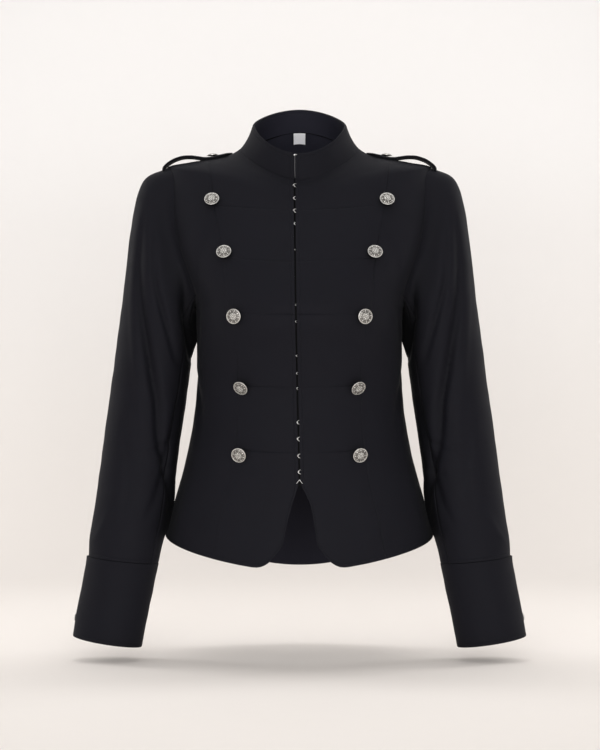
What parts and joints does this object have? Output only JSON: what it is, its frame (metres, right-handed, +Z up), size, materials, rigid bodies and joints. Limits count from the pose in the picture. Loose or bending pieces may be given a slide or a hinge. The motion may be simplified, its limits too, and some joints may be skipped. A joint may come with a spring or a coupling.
{
  "type": "stand collar jacket, worn form with no wearer",
  "caption": "Short fitted jacket with a stand collar, hooked front, two rows of domed metal buttons, shoulder straps and deep cuffs, hollow and in its worn form",
  "frame": {"origin": "at the middle of the neck's base, level with the inner ends of the shoulder seams, where a wearer's shoulders hold the jacket", "axes": "+Z up, the front faces -Y, +X is the wearer's left"},
  "size_m": [0.6022, 0.2584, 0.7268],
  "materials": {
    "black_twill": "matt black cotton twill",
    "old_silver": "aged silver plate",
    "label_satin": "white satin, bare"
  },
  "bodies": {
    "root": {"back_centre": "black_twill", "back_side_left": "black_twill", "back_side_right": "black_twill", "button_1_left": "old_silver", "button_1_right": "old_silver", "button_2_left": "old_silver", "button_2_right": "old_silver", "button_3_left": "old_silver", "button_3_right": "old_silver", "button_4_left": "old_silver", "button_4_right": "old_silver", "button_5_left": "old_silver", "button_5_right": "old_silver", "button_cuff_left": "old_silver", "button_cuff_right": "old_silver", "button_strap_left": "old_silver", "button_strap_right": "old_silver", "collar": "black_twill", "cuff_left": "black_twill", "cuff_right": "black_twill", "front_bust_left": "black_twill", "front_bust_right": "black_twill", "front_chest_left": "black_twill", "front_chest_right": "black_twill", "front_midriff_left": "black_twill", "front_midriff_right": "black_twill", "front_peplum_left": "black_twill", "front_peplum_right": "black_twill", "front_ribs_left": "black_twill", "front_ribs_right": "black_twill", "front_side_left": "black_twill", "front_side_right": "black_twill", "front_yoke_left": "black_twill", "front_yoke_right": "black_twill", "hook_placket": "black_twill", "shoulder_strap_left": "black_twill", "shoulder_strap_right": "black_twill", "size_label": "label_satin", "sleeve_under_left": "black_twill", "sleeve_under_right": "black_twill", "sleeve_upper_left": "black_twill", "sleeve_upper_right": "black_twill"}
  },
  "joints": []
}
